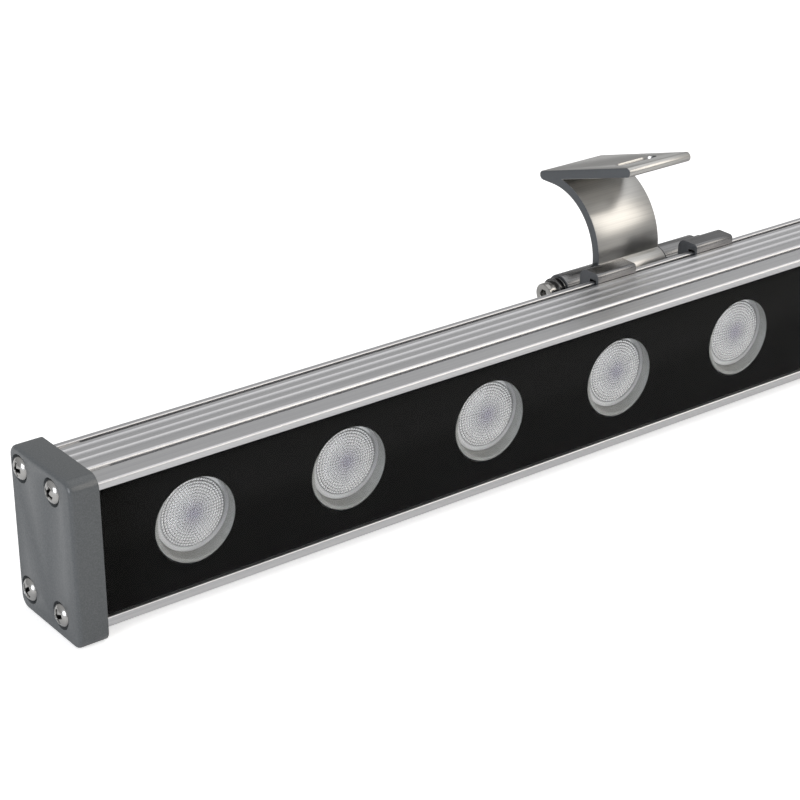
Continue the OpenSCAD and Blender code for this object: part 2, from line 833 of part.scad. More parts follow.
// Arm seen from its end, with the hinge at the origin
module arm_outline() {
    difference() {
        union() {
            circle(knuckle_radius);
            box2(-arm_front, 0, arm_thick - arm_front, arc_z);
            translate([arc_y, arc_z]) intersection() {
                difference() {
                    circle(arm_radius);
                    circle(arm_radius - arm_thick);
                }
                box2(-arm_radius, 0, 0, arm_radius);
            }
            translate([tail_y, tail_z]) {
                circle(tail_radius);
                rotate(-plate_tilt) {
                    box2(tail_radius - plate_run, tail_radius - arm_thick, 0, tail_radius);
                    translate([tail_radius - plate_run, 0]) circle(tail_radius);
                }
            }
            box2(arc_y, tail_z - tail_radius, tail_y, tail_z);
        }
        circle(pin_bore);
    }
}

module arm(side) {
    color("silver") in_lamp() at_bracket(side) translate([0, hinge_y, hinge_z]) difference() {
        along_x(arm_width) arm_outline();
        translate([0, tail_y, tail_z]) rotate([-plate_tilt, 0, 0])
            translate([0, slot_place - plate_run, tail_radius - arm_thick - cut_over])
                linear_extrude(arm_thick + 2 * cut_over) slot_outline();
    }
}

module slot_outline() {
    square([slot_length - slot_width, slot_width], center = true);
    for (s = [-1, 1]) translate([s * (slot_length - slot_width) / 2, 0]) circle(slot_width / 2);
}

// Puts a shape on the hinge of the named bracket, with its axis along +X
module on_hinge(side, x) {
    in_lamp() at_bracket(side) translate([x, hinge_y, hinge_z]) to_right() children();
}

module hinge_screw(side) {
    color("gainsboro") on_hinge(side, -pin_head_under - pin_head_rise) difference() {
        union() {
            cylinder(h = pin_head_rise, r = pin_head_radius);
            cylinder(h = pin_head_rise + pin_head_under + pin_end, r = pin_radius);
        }
        translate([0, 0, -cut_over]) linear_extrude(socket_depth + cut_over) hexagon(socket_flats);
    }
}

module hinge_washers(side) {
    color("gainsboro") for (x = [-clamp_far - washer_thick, clamp_far, -pin_head_under])
        on_hinge(side, x) ring(washer_radius, pin_bore, washer_thick);
}

module spring_washer(side) {
    color("dimgray") on_hinge(side, -pin_head_under + washer_thick) difference() {
        ring(spring_radius, pin_bore, spring_thick);
        translate([0, -washer_thick / 2, -cut_over])
            cube([spring_radius + cut_over, washer_thick, spring_thick + 2 * cut_over]);
    }
}

module hinge_nut(side) {
    color("gainsboro") on_hinge(side, nut_start) difference() {
        union() {
            linear_extrude(nut_thick * 3 / 4) hexagon(nut_flats);
            cylinder(h = nut_thick, r = nut_flats / 2 - fit_play);
        }
        translate([0, 0, -cut_over]) cylinder(h = nut_thick + 2 * cut_over, r = pin_bore);
    }
}

module set_screws(side) {
    color("dimgray") in_lamp() at_bracket(side) for (place = [-1, 1])
        translate([place * clamp_centre, leg_back, set_screw_z]) to_front() difference() {
            cylinder(h = leg_thick + rail_play - fit_play, r = set_screw_radius - fit_play);
            translate([0, 0, -cut_over]) linear_extrude(socket_depth) hexagon(set_screw_radius);
        }
}

housing();
end_cap("left");  // end_cap_left
end_cap("right");  // end_cap_right
end_gasket("left");  // end_gasket_left
end_gasket("right");  // end_gasket_right
end_screws("left");  // end_screws_left
end_screws("right");  // end_screws_right
front_glass();
black_mask();
glass_seal();
for (i = [1 : lens_count]) lens(i);
lens_holders();
led_board(-1);  // led_board_left
led_board(1);  // led_board_right
led_emitters();
board_screws();
driver_pad();
driver_board();
driver_coils();
driver_capacitors();
link_wires();
supply_wire();
gland_body();
gland_nut();
gland_seal();
for (s = SIDES) {
    clamp(s, s == "left" ? -1 : 1);
    clamp(s, s == "left" ? 1 : -1);
    arm(s);
    hinge_screw(s);
    hinge_washers(s);
    spring_washer(s);
    hinge_nut(s);
    set_screws(s);
}
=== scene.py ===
import bmesh
import bpy
import json
from math import pi, radians
from mathutils import Euler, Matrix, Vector


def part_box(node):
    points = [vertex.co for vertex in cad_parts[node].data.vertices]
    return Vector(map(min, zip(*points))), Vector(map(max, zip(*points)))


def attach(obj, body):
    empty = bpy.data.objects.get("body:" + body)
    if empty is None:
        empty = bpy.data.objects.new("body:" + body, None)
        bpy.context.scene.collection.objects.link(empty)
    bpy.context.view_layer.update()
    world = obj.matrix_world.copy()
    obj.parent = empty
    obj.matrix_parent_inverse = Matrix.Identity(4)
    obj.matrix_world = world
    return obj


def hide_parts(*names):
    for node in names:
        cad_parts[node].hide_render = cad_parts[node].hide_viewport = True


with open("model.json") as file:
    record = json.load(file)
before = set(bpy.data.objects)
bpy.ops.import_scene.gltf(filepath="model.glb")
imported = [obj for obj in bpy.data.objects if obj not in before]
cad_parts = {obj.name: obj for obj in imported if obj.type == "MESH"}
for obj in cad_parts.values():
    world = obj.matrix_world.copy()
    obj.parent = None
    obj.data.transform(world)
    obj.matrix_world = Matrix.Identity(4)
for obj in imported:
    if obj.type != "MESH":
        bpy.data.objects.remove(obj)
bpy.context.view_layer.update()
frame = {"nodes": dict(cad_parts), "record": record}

# Camera. It looks along the lamp from its left end, a little from above, through a
# long lens, as the picture of the object was taken.
CAMERA_PLACE = Vector((-0.74106, -0.47530, 0.29876))
CAMERA_AZIMUTH = -36.828  # degrees from straight at the glass
CAMERA_DROP = 25.050  # degrees below level
CAMERA_ROLL = -0.256  # degrees
CAMERA_LENS = 101.013  # millimetres
CAMERA_SENSOR = 36.0  # millimetres
CAMERA_NEAR = 0.01
camera_data = bpy.data.cameras.new("camera")
camera_data.lens = CAMERA_LENS
camera_data.sensor_width = CAMERA_SENSOR
camera_data.clip_start = CAMERA_NEAR
camera = bpy.data.objects.new("camera", camera_data)
bpy.context.scene.collection.objects.link(camera)
turn = Euler((0, 0, radians(CAMERA_AZIMUTH))).to_matrix()
drop = Euler((radians(90 - CAMERA_DROP), 0, 0)).to_matrix()
roll = Euler((0, 0, radians(CAMERA_ROLL))).to_matrix()
camera.location = CAMERA_PLACE
camera.rotation_euler = (turn @ drop @ roll).to_euler()
bpy.context.scene.camera = camera

# Housing. One extrusion of 6063 aluminium, pressed through a die along the lamp and then
# satin anodised. The die leaves faint lines along the length, and the satin etch
# spreads the reflections.
MM = 0.001  # metres in a millimetre
DIE_LINE_STRETCH = 150  # length over width of a die line
DIE_LINE_RELIEF = 0.05  # millimetres
SAWN_SLOPE = 0.93  # a face whose normal points along X more than this is a sawn end
SAWN_ROUGHNESS = 0.6


def tint(code):
    """An sRGB hex colour as the linear colour that a shader wants."""
    parts = [int(code[i:i + 2], 16) / 255 for i in (1, 3, 5)]
    return [p / 12.92 if p <= 0.04045 else ((p + 0.055) / 1.055) ** 2.4 for p in parts] + [1]


def add(material, kind, sockets=None, stops=(), **settings):
    """Adds one node to a material or the world.

    A socket gets a value, or the output that feeds it. A colour ramp has (place, hex) stops.
    """
    node = material.node_tree.nodes.new("ShaderNode" + kind)
    for name, value in settings.items():
        setattr(node, name, value)
    for name, value in (sockets or {}).items():
        if isinstance(value, bpy.types.NodeSocket):
            material.node_tree.links.new(value, node.inputs[name])
        else:
            node.inputs[name].default_value = value
    if stops:
        marks = node.color_ramp.elements
        while len(marks) < len(stops):
            marks.new(1)
        for mark, (place, code) in zip(marks, stops):
            mark.position = place
            mark.color = tint(code)
    return node


def new_finish(name):
    """An empty node material."""
    material = bpy.data.materials.new(name)
    material.use_nodes = True
    material.node_tree.nodes.clear()
    return material


def show(material, surface):
    """Puts a shader on the surface of a material."""
    add(material, "OutputMaterial", {"Surface": surface})
    return material


def coat_nodes(material, *names):
    """Gives CAD nodes a finish through their own material slots."""
    for name in names:
        node = frame["nodes"][name]
        if not node.material_slots:
            node.data.materials.append(material)
        for place in node.material_slots:
            place.material = material


def extruded_aluminium(name, face, dark, cut, roughness, line_width):
    """Satin anodised extrusion: die lines along X, and darker sawn ends."""
    material = new_finish(name)
    place = add(material, "TexCoord").outputs["Object"]
    # The lines are line_width millimetres wide and much longer. Real ones are finer, and
    # would not show in the render.
    across = 1 / (line_width * MM)
    stretched = add(material, "Mapping", {"Vector": place,
                                          "Scale": (across / DIE_LINE_STRETCH, across, across)})
    lines = add(material, "TexNoise", {"Vector": stretched.outputs[0], "Scale": 1.0, "Detail": 3.0,
                                       "Roughness": 0.6})
    shade = add(material, "ValToRGB", {"Fac": lines.outputs["Fac"]}, stops=[(0.35, dark), (0.62, face)])
    side = add(material, "SeparateXYZ", {0: add(material, "NewGeometry").outputs["Normal"]})
    sawn = add(material, "Math", {0: side.outputs["X"]}, operation="ABSOLUTE")
    sawn = add(material, "Math", {0: sawn.outputs[0], 1: SAWN_SLOPE}, operation="GREATER_THAN")
    colour = add(material, "Mix", {"Factor": sawn.outputs[0], "A": shade.outputs["Color"],
                                   "B": tint(cut)}, data_type="RGBA")
    rough = add(material, "MapRange", {"Value": sawn.outputs[0], "To Min": roughness,
                                       "To Max": SAWN_ROUGHNESS})
    relief = add(material, "Bump", {"Height": lines.outputs["Fac"], "Strength": 0.12,
                                    "Distance": DIE_LINE_RELIEF * MM})
    metal = add(material, "BsdfPrincipled", {"Base Color": colour.outputs["Result"], "Metallic": 1.0,
                                             "Roughness": rough.outputs[0],
                                             "Normal": relief.outputs[0]})
    return show(material, metal.outputs[0])


housing_finish = extruded_aluminium("satin_anodised_extrusion", "#DADADB", "#D0D0D2", "#8A8A8C",
                                    roughness=0.36, line_width=0.8)
coat_nodes(housing_finish, "housing")

# End caps. Die-cast aluminium, powder coated in satin grey over a fine texture, with a
# sunk seat for each screw. The coating is thick, so it rounds every edge a little, and
# its fine grain with rare paler specks breaks up the shine.
CAP_EASING = 0.45  # millimetres
POWDER_GRAIN = 0.35  # millimetres
POWDER_RELIEF = 0.05  # millimetres
MERGE_DISTANCE = 0.0005  # millimetres, below which two points of a CAD mesh are one
FLAT_ANGLE = 0.3  # degrees, below which two faces are one


def alone(piece):
    """Leaves only this piece selected and active."""
    bpy.ops.object.select_all(action="DESELECT")
    piece.select_set(True)
    bpy.context.view_layer.objects.active = piece


def finish_edges(name, material, width, corner=30, segments=2):
    """Stands for a CAD node with its own shape, its edges eased by width in millimetres.

    Edges sharper than corner, in degrees, are eased.
    """
    node = frame["nodes"][name]
    piece = bpy.data.objects.new(name + "_eased", node.data.copy())
    piece.data.name = piece.name
    bpy.context.scene.collection.objects.link(piece)
    piece.matrix_world = node.matrix_world.copy()
    alone(piece)
    bpy.ops.object.transform_apply(location=True, rotation=True, scale=True)
    bpy.ops.object.mode_set(mode="EDIT")
    bpy.ops.mesh.select_all(action="SELECT")
    bpy.ops.mesh.remove_doubles(threshold=MERGE_DISTANCE * MM)
    bpy.ops.mesh.dissolve_limited(angle_limit=radians(FLAT_ANGLE))
    bpy.ops.object.mode_set(mode="OBJECT")
    easing = piece.modifiers.new("easing", "BEVEL")
    easing.width = width * MM
    easing.segments = segments
    easing.limit_method = "ANGLE"
    easing.angle_limit = radians(corner)
    bpy.ops.object.modifier_apply(modifier=easing.name)
    bpy.ops.object.shade_smooth_by_angle(angle=radians(corner))
    piece.data.materials.clear()
    piece.data.materials.append(material)
    bodies = frame["record"]["behaviour"]["bodies"]
    body = next(carrier for carrier, names in bodies.items() if name in names)
    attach(piece, body)
    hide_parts(name)
    return piece


def powder_coat(name, pale, mid, dark):
    """Satin powder coat with a fine grain and rare paler specks."""
    material = new_finish(name)
    place = add(material, "TexCoord").outputs["Object"]
    grain = add(material, "TexNoise", {"Vector": place, "Scale": 1 / (POWDER_GRAIN * MM), "Detail": 2.0})
    colour = add(material, "ValToRGB", {"Fac": grain.outputs["Fac"]},
                 stops=[(0.33, dark), (0.5, mid), (0.74, pale)])
    relief = add(material, "Bump", {"Height": grain.outputs["Fac"], "Strength": 0.05,
                                    "Distance": POWDER_RELIEF * MM})
    paint = add(material, "BsdfPrincipled", {"Base Color": colour.outputs["Color"], "Roughness": 0.25,
                                             "Specular IOR Level": 0.5, "Normal": relief.outputs[0]})
    return show(material, paint.outputs[0])


cap_finish = powder_coat("grey_powder_coat", "#65686A", "#5D6062", "#575A5C")
finish_edges("end_cap_left", cap_finish, CAP_EASING, segments=3)
finish_edges("end_cap_right", cap_finish, CAP_EASING, segments=3)

# End screws. Pan-head tapping screws of stainless steel: the head and its cross recess are
# pressed, the shank is rolled, and all of it is tumbled bright, so it mirrors the room
# with soft edges. All sizes are in millimetres.
SCREW_HEAD_RADIUS = 3.35
SCREW_HEAD_RISE = 2.4
SCREW_HEAD_EDGE = 0.7  # the straight rim under the dome
SCREW_HEAD_SIDES = 40
SCREW_DOME_STEPS = ((0.06, 0.24), (0.1, 0.24), (0.16, 0.24), (0.2, 0.18), (0.22, 0.1))
SCREW_SHANK_RADIUS = 1.75
SCREW_SHANK_LENGTH = 17.0
SCREW_EASING = 0.07
RECESS_WIDTH = 4.7
RECESS_DEPTH = 1.9
RECESS_SLIMNESS = 3.4  # width over thickness of one blade of the cross
RECESS_TAPER = 0.6  # size of a blade's foot over its top
RECESS_REACH = 0.95  # of the head's radius, within which a point can be sunk
SCREW_MERGE = 0.001
FACING = 0.9  # a face whose normal points along Z more than this is an end face
SCREW_TURNS = {"left": (0.35, 1.1, 0.75, 0.1), "right": (0.2, 0.9, 0.5, 1.3)}  # radians


def plain_finish(name, code, second, roughness, grain_mm, relief_mm=0.02, metallic=0.0):
    """A moulded, printed or plated surface with a slight grain of the given size."""
    material = new_finish(name)
    place = add(material, "TexCoord").outputs["Object"]
    grain = add(material, "TexNoise", {"Vector": place, "Scale": 1 / (grain_mm * MM), "Detail": 3.0})
    colour = add(material, "ValToRGB", {"Fac": grain.outputs["Fac"]}, stops=[(0.35, second), (0.65, code)])
    relief = add(material, "Bump", {"Height": grain.outputs["Fac"], "Strength": 0.15,
                                    "Distance": relief_mm * MM})
    body = add(material, "BsdfPrincipled", {"Base Color": colour.outputs["Color"],
                                            "Roughness": roughness, "Metallic": metallic,
                                            "Normal": relief.outputs[0]})
    return show(material, body.outputs[0])


def pick_faces(piece, test):
    """In edit mode, selects only the faces whose middle and normal pass the test."""
    bpy.ops.mesh.select_all(action="DESELECT")
    mesh = bmesh.from_edit_mesh(piece.data)
    for face in mesh.faces:
        if test(face.calc_center_median(), face.normal):
            face.select_set(True)
    bmesh.update_edit_mesh(piece.data)


def step_face(inset, rise):
    """Insets the selected end face and moves it along Z, both in millimetres."""
    bpy.ops.mesh.inset(thickness=inset * MM, use_even_offset=True)
    bpy.ops.transform.translate(value=(0, 0, rise * MM))


def cut_out(piece, tool):
    """Cuts a tool's shape out of a piece and deletes the tool."""
    alone(piece)
    cut = piece.modifiers.new("cut", "BOOLEAN")
    cut.object = tool
    cut.solver = "EXACT"
    bpy.ops.object.modifier_apply(modifier=cut.name)
    bpy.data.objects.remove(tool)


def extrude_face(rise):
    """Extrudes the selected end face along Z, in millimetres."""
    bpy.ops.mesh.extrude_region_move(TRANSFORM_OT_translate={"value": (0, 0, rise * MM)})


def cross_screw():
    """A pan-head screw with the foot of its head at z = 0 and its shank below."""
    radius = SCREW_HEAD_RADIUS
    edge = SCREW_HEAD_EDGE
    dome = SCREW_HEAD_RISE - edge
    bpy.ops.object.select_all(action="DESELECT")
    bpy.ops.mesh.primitive_cylinder_add(vertices=SCREW_HEAD_SIDES, radius=radius * MM,
                                        depth=edge * MM, location=(0, 0, edge / 2 * MM))
    screw = bpy.context.object
    bpy.ops.object.transform_apply(location=True, rotation=True, scale=True)
    bpy.ops.object.mode_set(mode="EDIT")
    pick_faces(screw, lambda middle, normal: normal.z > FACING)
    for inset, share in SCREW_DOME_STEPS:
        step_face(inset * radius, share * dome)
    pick_faces(screw, lambda middle, normal: normal.z < -FACING)
    step_face(radius - SCREW_SHANK_RADIUS, 0)
    extrude_face(-SCREW_SHANK_LENGTH)
    step_face(SCREW_SHANK_RADIUS / 3, -SCREW_SHANK_RADIUS / 2)
    bpy.ops.object.mode_set(mode="OBJECT")
    middle_height = SCREW_HEAD_RISE - RECESS_DEPTH / 2 + edge / 2
    for angle in (0, pi / 2):
        bpy.ops.object.select_all(action="DESELECT")
        bpy.ops.mesh.primitive_cube_add(size=1, location=(0, 0, middle_height * MM))
        blade = bpy.context.object
        blade.scale = (RECESS_WIDTH * MM, RECESS_WIDTH / RECESS_SLIMNESS * MM, (RECESS_DEPTH + edge) * MM)
        blade.rotation_euler.z = angle
        bpy.ops.object.transform_apply(location=True, rotation=True, scale=True)
        bpy.ops.object.mode_set(mode="EDIT")
        pick_faces(blade, lambda middle, normal: normal.z < -FACING)
        bpy.ops.transform.resize(value=(RECESS_TAPER, RECESS_TAPER, 1), center_override=(0, 0, 0))
        bpy.ops.object.mode_set(mode="OBJECT")
        cut_out(screw, blade)
    easing = screw.modifiers.new("easing", "BEVEL")
    easing.width = SCREW_EASING * MM
    easing.segments = 2
    easing.limit_method = "ANGLE"
    easing.angle_limit = radians(35)
    alone(screw)
    bpy.ops.object.modifier_apply(modifier=easing.name)
    bpy.ops.object.mode_set(mode="EDIT")
    bpy.ops.mesh.select_all(action="SELECT")
    bpy.ops.mesh.remove_doubles(threshold=SCREW_MERGE * MM)
    bpy.ops.object.mode_set(mode="OBJECT")
    bpy.ops.object.shade_smooth_by_angle(angle=radians(32))
    # Each point of the head keeps how far it lies under the dome, in millimetres; the head's material paints
    # shade in the recess from it.
    sunk = screw.data.attributes.new("sunk", "FLOAT", "POINT")
    for depth_at, vertex in zip(sunk.data, screw.data.vertices):
        share = vertex.co.xy.length / (radius * MM)
        if share < RECESS_REACH and vertex.co.z > 0:
            depth_at.value = edge + dome * (1 - share ** 2) ** 0.5 - vertex.co.z / MM
    return screw


def place_copy(piece, place, turns, spin=0.0):
    """A copy of a piece with its own mesh, spun on its axis, turned and put in place."""
    copy = piece.copy()
    copy.data = piece.data.copy()
    bpy.context.scene.collection.objects.link(copy)
    copy.matrix_world = (Euler(turns).to_matrix() @ Euler((0, 0, spin)).to_matrix()).to_4x4()
    copy.location = place
    alone(copy)
    bpy.ops.object.transform_apply(location=True, rotation=True, scale=True)
    return copy


def join_as(name, parts, material, body, *nodes):
    """Joins parts into one named piece that rides on a body and stands for CAD nodes."""
    alone(parts[0])
    if len(parts) > 1:
        for part in parts:
            part.select_set(True)
        bpy.ops.object.join()
    piece = parts[0]
    piece.name = name
    piece.data.name = name
    piece.data.materials.clear()
    piece.data.materials.append(material)
    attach(piece, body)
    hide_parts(*nodes)
    return piece


steel_finish = plain_finish("bright_stainless_steel", "#ABAAA8", "#9F9E9C", 0.14, 1.5, metallic=1.0)
# The end screws' heads are of the same steel. The cross is painted darker the deeper it
# lies under the dome: painted shade in the recess.
head_painted_recess_shade_finish = new_finish("pressed_stainless_head_painted_recess_shade")
depth = add(head_painted_recess_shade_finish, "Attribute", attribute_name="sunk")
depth = add(head_painted_recess_shade_finish, "MapRange", {"Value": depth.outputs["Fac"], "From Min": 0.12, "From Max": 0.5})
# Painted shade: steel where the recess is shallow, near black where it is deep.
colour = add(head_painted_recess_shade_finish, "ValToRGB", {"Fac": depth.outputs[0]}, stops=[(0.0, "#C2C1BF"), (0.9, "#1C1C1C")])
rough = add(head_painted_recess_shade_finish, "MapRange", {"Value": depth.outputs[0], "To Min": 0.2, "To Max": 0.6})
head = add(head_painted_recess_shade_finish, "BsdfPrincipled", {"Base Color": colour.outputs["Color"], "Metallic": 1.0,
                                           "Roughness": rough.outputs[0]})
show(head_painted_recess_shade_finish, head.outputs[0])
end_screw = cross_screw()
for side, way in (("left", -1), ("right", 1)):
    low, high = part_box("end_screws_" + side)
    under = (low.x if way < 0 else high.x) - way * SCREW_HEAD_RISE * MM
    margin = SCREW_HEAD_RADIUS * MM
    places = [(y, z) for y in (low.y + margin, high.y - margin) for z in (low.z + margin, high.z - margin)]
    heads = [place_copy(end_screw, (under, y, z), (0, way * pi / 2, 0), spin)
             for (y, z), spin in zip(places, SCREW_TURNS[side])]
    join_as("end_screws_" + side + "_pan_head", heads, head_painted_recess_shade_finish, "lamp", "end_screws_" + side)
bpy.data.objects.remove(end_screw)
coat_nodes(steel_finish, "board_screws")

# Front glass. A strip of toughened glass behind the two lips of the housing, with a black
# enamel print on its back that leaves a clear round window for each lens. The index is
# below that of real glass, so that the long flat face mirrors as little as it should.
GLASS_INDEX = 1.16
glass_finish = new_finish("toughened_glass")
clear = add(glass_finish, "BsdfPrincipled", {"Base Color": tint("#FDFEFE"), "Roughness": 0.02,
                                             "IOR": GLASS_INDEX, "Transmission Weight": 1.0})
lit = add(glass_finish, "BsdfTransparent", {"Color": tint("#F6F7F7")})
rays = add(glass_finish, "LightPath")
strip = add(glass_finish, "MixShader", {0: rays.outputs["Is Shadow Ray"], 1: clear.outputs[0],
                                        2: lit.outputs[0]})
show(glass_finish, strip.outputs[0])
coat_nodes(glass_finish, "front_glass")

# The upper half of the print is painted a little paler: a painted reflection of the room in the glass.
print_painted_reflection_finish = new_finish("black_enamel_print_painted_reflection")
low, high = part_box("black_mask")
place = add(print_painted_reflection_finish, "TexCoord").outputs["Object"]
height = add(print_painted_reflection_finish, "SeparateXYZ", {0: place})
share = add(print_painted_reflection_finish, "MapRange", {"Value": height.outputs["Z"], "From Min": low.z,
                                       "From Max": high.z})
# Painted reflection: darker print below, paler above.
colour = add(print_painted_reflection_finish, "ValToRGB", {"Fac": share.outputs[0]}, stops=[(0.42, "#202020"), (0.6, "#333333")])
enamel = add(print_painted_reflection_finish, "BsdfPrincipled", {"Base Color": colour.outputs["Color"], "Roughness": 0.4})
coat_nodes(show(print_painted_reflection_finish, enamel.outputs[0]), "black_mask")

# Seal and gaskets. Strips and frames of black rubber, pressed between the parts that they
# keep dry, with a dull face.
rubber_finish = plain_finish("black_rubber", "#1A1A1A", "#121212", 0.7, 0.8)
coat_nodes(rubber_finish, "glass_seal", "end_gasket_left", "end_gasket_right", "gland_seal")

# Lens holders. Each is a short grey collar, moulded in filled nylon and satin all over,
# which stands on the board behind a window and carries a lens in its step.
HOLDER_EASING = 0.12
holder_finish = plain_finish("moulded_grey_nylon", "#80807E", "#797977", 0.42, 1.5)
finish_edges("lens_holders", holder_finish, HOLDER_EASING, corner=25)

# Lenses. Each is moulded in clear acrylic: a smooth rim, a slightly domed front with rings
# of small beads that spread the light, and a cone behind that gathers it. All sizes are
# in millimetres.
LENS_SIDES = 72
LENS_RIM_DROP = 0.9  # from the highest bead down to the rim
LENS_RIM_THICK = 1.8
LENS_CONE_RADIUS = 10.1
LENS_CONE_TAPER = 0.5  # size of the cone's foot over its top
LENS_PIT_INSET = 0.2  # of the cone's radius
LENS_PIT_DEPTH = 2.8  # of the hollow over the emitter
LENS_CROWN_STEPS = 6
BEAD_RINGS = 11  # round the middle bead, each with six beads more than the one inside it
BEAD_PITCH = 0.85
BEAD_RISE = 0.17
BEAD_GAP = 0.2  # how deep the field is sunk, so that every bead stands out of it
BEAD_ROOT = 1.3  # how deep a bead reaches, over the gap
BEAD_SIDES = 8
FIELD_MARGIN = 0.6  # from the last ring to the edge of the field, over the pitch
COLOUR_REACH = 12.0  # distance from the axis at the end of the colour ramp
RIM_SLACK = 0.01  # for picking the front face by its height


def beaded_lens(radius, depth):
    """A lens with its highest bead at z = 0 and its axis along Z."""
    field = (BEAD_RINGS + FIELD_MARGIN) * BEAD_PITCH
    rim_middle = -(LENS_RIM_DROP + LENS_RIM_THICK / 2)
    bpy.ops.object.select_all(action="DESELECT")
    bpy.ops.mesh.primitive_cylinder_add(vertices=LENS_SIDES, radius=radius * MM,
                                        depth=LENS_RIM_THICK * MM, location=(0, 0, rim_middle * MM))
    lens = bpy.context.object
    bpy.ops.object.transform_apply(location=True, rotation=True, scale=True)
    bpy.ops.object.mode_set(mode="EDIT")
    pick_faces(lens, lambda middle, normal: normal.z < -FACING)
    step_face(radius - LENS_CONE_RADIUS, 0)
    extrude_face(-(depth - LENS_RIM_THICK))
    bpy.ops.transform.resize(value=(LENS_CONE_TAPER, LENS_CONE_TAPER, 1), center_override=(0, 0, 0))
    step_face(LENS_CONE_RADIUS * LENS_PIT_INSET, 0)
    extrude_face(LENS_PIT_DEPTH)
    rim_floor = -(LENS_RIM_DROP + RIM_SLACK) * MM
    pick_faces(lens, lambda middle, normal: normal.z > FACING and middle.z > rim_floor)
    step_face(radius - field, 0)
    extrude_face(-BEAD_GAP)
    # The field rises to its middle in steps, each flatter than the one outside it.
    crown = LENS_RIM_DROP - BEAD_RISE
    for left in range(LENS_CROWN_STEPS, 0, -1):
        step_face(field / (LENS_CROWN_STEPS + 0.5), crown * (2 * left - 1) / LENS_CROWN_STEPS ** 2)
    bpy.ops.object.mode_set(mode="OBJECT")
    bpy.ops.object.shade_smooth_by_angle(angle=radians(30))
    rings = [lens]
    reach = BEAD_PITCH / 2
    ball = (reach ** 2 + BEAD_RISE ** 2) / (2 * BEAD_RISE)
    for ring in range(BEAD_RINGS + 1):
        away = ring * BEAD_PITCH
        base = -LENS_RIM_DROP + crown * (1 - (away / field) ** 2)
        bpy.ops.object.select_all(action="DESELECT")
        bpy.ops.mesh.primitive_uv_sphere_add(segments=BEAD_SIDES, ring_count=BEAD_SIDES, radius=ball * MM,
                                             location=(away * MM, 0, (base + BEAD_RISE - ball) * MM))
        bead = bpy.context.object
        bpy.ops.object.transform_apply(location=True, rotation=True, scale=True)
        bpy.ops.object.mode_set(mode="EDIT")
        bpy.ops.mesh.select_all(action="SELECT")
        bpy.ops.mesh.bisect(plane_co=(0, 0, (base - BEAD_ROOT * BEAD_GAP) * MM), plane_no=(0, 0, 1),
                            clear_inner=True, use_fill=True)
        count = 6 * ring
        if count:
            bpy.ops.mesh.select_all(action="SELECT")
            bpy.ops.mesh.spin(steps=count - 1, dupli=True, angle=2 * pi * (count - 1) / count,
                              center=(0, 0, 0), axis=(0, 0, 1))
        bpy.ops.object.mode_set(mode="OBJECT")
        bpy.ops.object.shade_smooth_by_angle(angle=radians(60))
        rings.append(bead)
    alone(lens)
    for ring in rings:
        ring.select_set(True)
    bpy.ops.object.join()
    # Each point keeps its distance from the axis, in millimetres.
    from_axis = lens.data.attributes.new("from_axis", "FLOAT", "POINT")
    for point, vertex in zip(from_axis.data, lens.data.vertices):
        point.value = vertex.co.xy.length / MM
    return lens


# The cup seen through the clear moulding is painted into its colour, a painted refraction: grey,
# a little lilac over the emitter and paler outwards. Its sheen gives every bead a flash, and leaves the rim
# calm.
lens_finish = new_finish("clear_moulded_acrylic_painted_view")
away = add(lens_finish, "Attribute", attribute_name="from_axis")
away = add(lens_finish, "MapRange", {"Value": away.outputs["Fac"], "From Max": COLOUR_REACH})
# Painted refraction: the view of the cup through the acrylic, lilac in the middle and paler outwards.
painted_cup_view = add(lens_finish, "ValToRGB", {"Fac": away.outputs[0]},
          stops=[(0.0, "#8C8A96"), (0.3, "#A7A7AA"), (0.6, "#B9B9BA"), (0.8, "#B9B9BA"), (0.86, "#B0B0B1")])
sheen = add(lens_finish, "MapRange", {"Value": away.outputs[0], "From Min": 0.8, "From Max": 0.86,
                                      "To Min": 0.75, "To Max": 0.2})
moulding = add(lens_finish, "BsdfPrincipled", {"Base Color": painted_cup_view.outputs["Color"], "Roughness": 0.1,
                                               "IOR": 1.49, "Metallic": sheen.outputs[0]})
show(lens_finish, moulding.outputs[0])
lens_names = sorted(name for name in frame["nodes"] if name.startswith("lens_") and name[-1].isdigit())
low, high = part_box(lens_names[0])
lens_model = beaded_lens((high.x - low.x) / 2 / MM, (high.y - low.y) / MM - LENS_RIM_DROP)
for name in lens_names:
    low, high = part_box(name)
    middle = (low + high) / 2
    copy = place_copy(lens_model, (middle.x, low.y, middle.z), (pi / 2, 0, 0))
    join_as(name + "_beaded", [copy], lens_finish, "lamp", name)
bpy.data.objects.remove(lens_model)

# Boards, emitters and driver. The boards are screwed to the shelf of the housing and
# printed with satin solder resist, and the driver lies behind them on a soft heat pad. All
# of it is out of sight behind the lenses, so plain finishes do.
resist_finish = plain_finish("white_solder_resist", "#E4E4E0", "#DADAD6", 0.4, 1.0)
coat_nodes(resist_finish, "led_board_left", "led_board_right")
coat_nodes(plain_finish("phosphor_emitter", "#E8D27A", "#DCC66E", 0.4, 0.5), "led_emitters")
coat_nodes(plain_finish("green_solder_resist", "#1F5A38", "#1A5031", 0.4, 1.0), "driver_board")
coat_nodes(plain_finish("soft_heat_pad", "#8C9298", "#848A90", 0.8, 0.8), "driver_pad")
coat_nodes(plain_finish("red_wire_sleeve", "#A02822", "#98241E", 0.45, 0.8), "link_wires")
moulding_finish = plain_finish("black_moulding", "#1C1C1D", "#161617", 0.5, 0.8)
coat_nodes(moulding_finish, "driver_coils", "driver_capacitors", "supply_wire")

